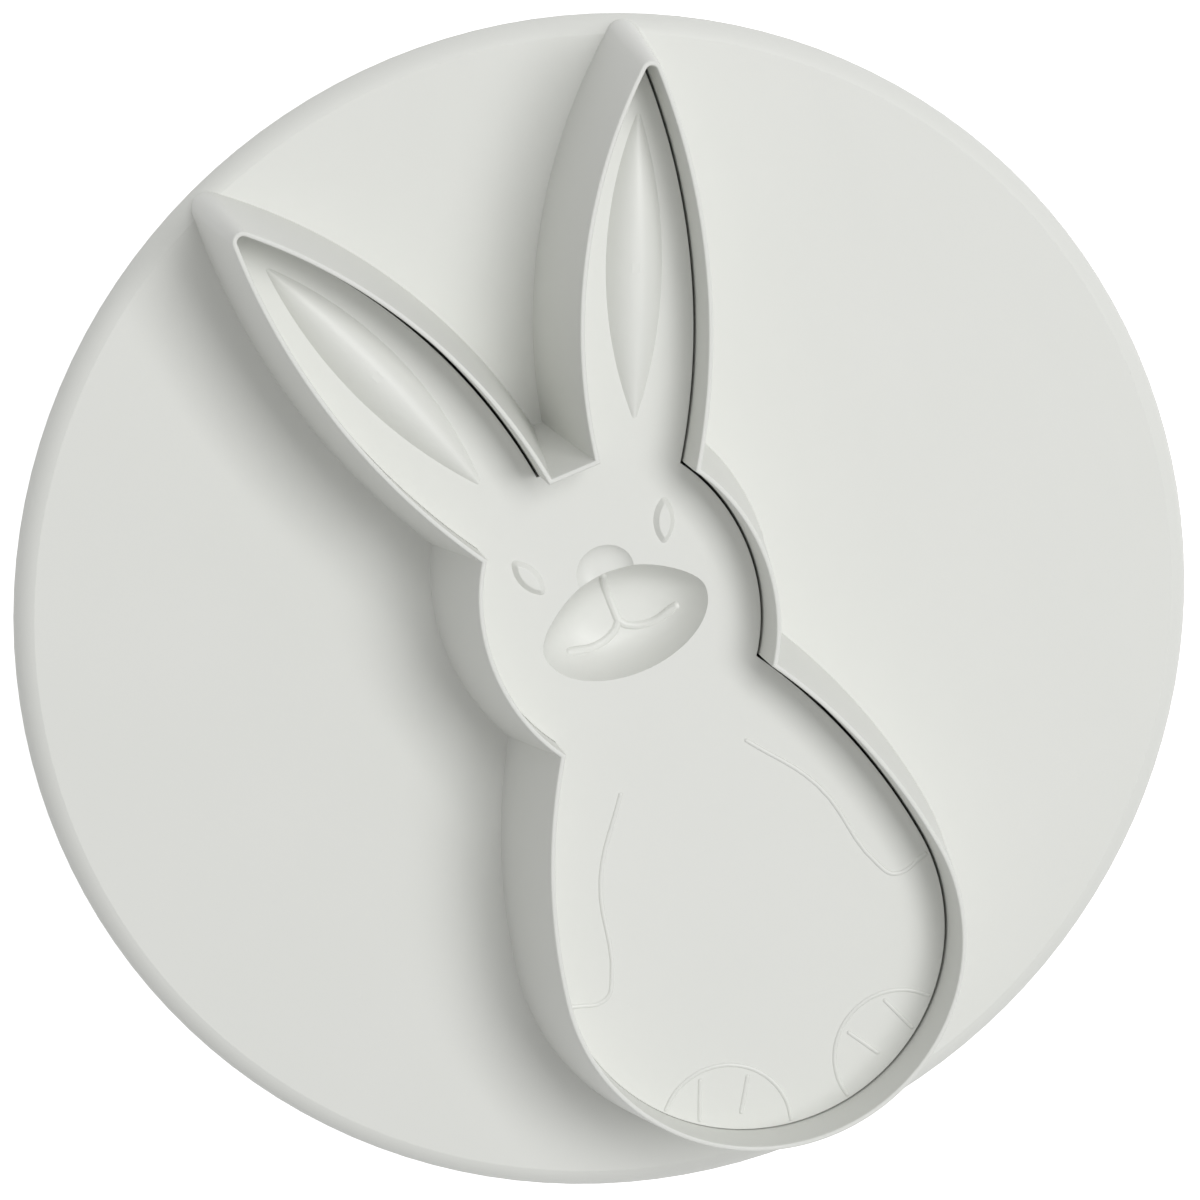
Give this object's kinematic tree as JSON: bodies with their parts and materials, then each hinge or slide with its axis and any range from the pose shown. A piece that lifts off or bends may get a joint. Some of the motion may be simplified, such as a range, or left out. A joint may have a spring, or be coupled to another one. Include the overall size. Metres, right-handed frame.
{
  "type": "spring plunger cookie cutter",
  "caption": "Round-flanged rabbit cutter with a drafted cutting wall and a sprung embossing plate that is pushed out by a knob on the back.",
  "frame": {"origin": "centre of the knob's foot, on the stem's axis, at the bottom of the standing part", "axes": "+Z along the stem towards the cutting edge, +Y from the rabbit's feet to its ears, +X to the right of the face seen from above"},
  "size_m": [0.09, 0.09, 0.0402],
  "materials": {
    "white_plastic": "satin moulded",
    "spring_steel": "drawn wire",
    "screw_steel": "plain"
  },
  "bodies": {
    "cutter_body": {"flange_disc": "white_plastic", "cutting_wall": "white_plastic", "guide_tube": "white_plastic", "return_spring": "spring_steel"},
    "plunger": {"embossing_plate": "white_plastic", "plunger_stem": "white_plastic", "push_knob": "white_plastic", "knob_screw": "screw_steel"}
  },
  "joints": [
    {"name": "plunger_slide", "type": "slide", "parent": "cutter_body", "child": "plunger", "axis": [0, 0, 1], "range_m": [0, 0.006], "stiffness_N_per_m": 500, "springref_m": -0.008, "deforming": ["return_spring"]}
  ]
}
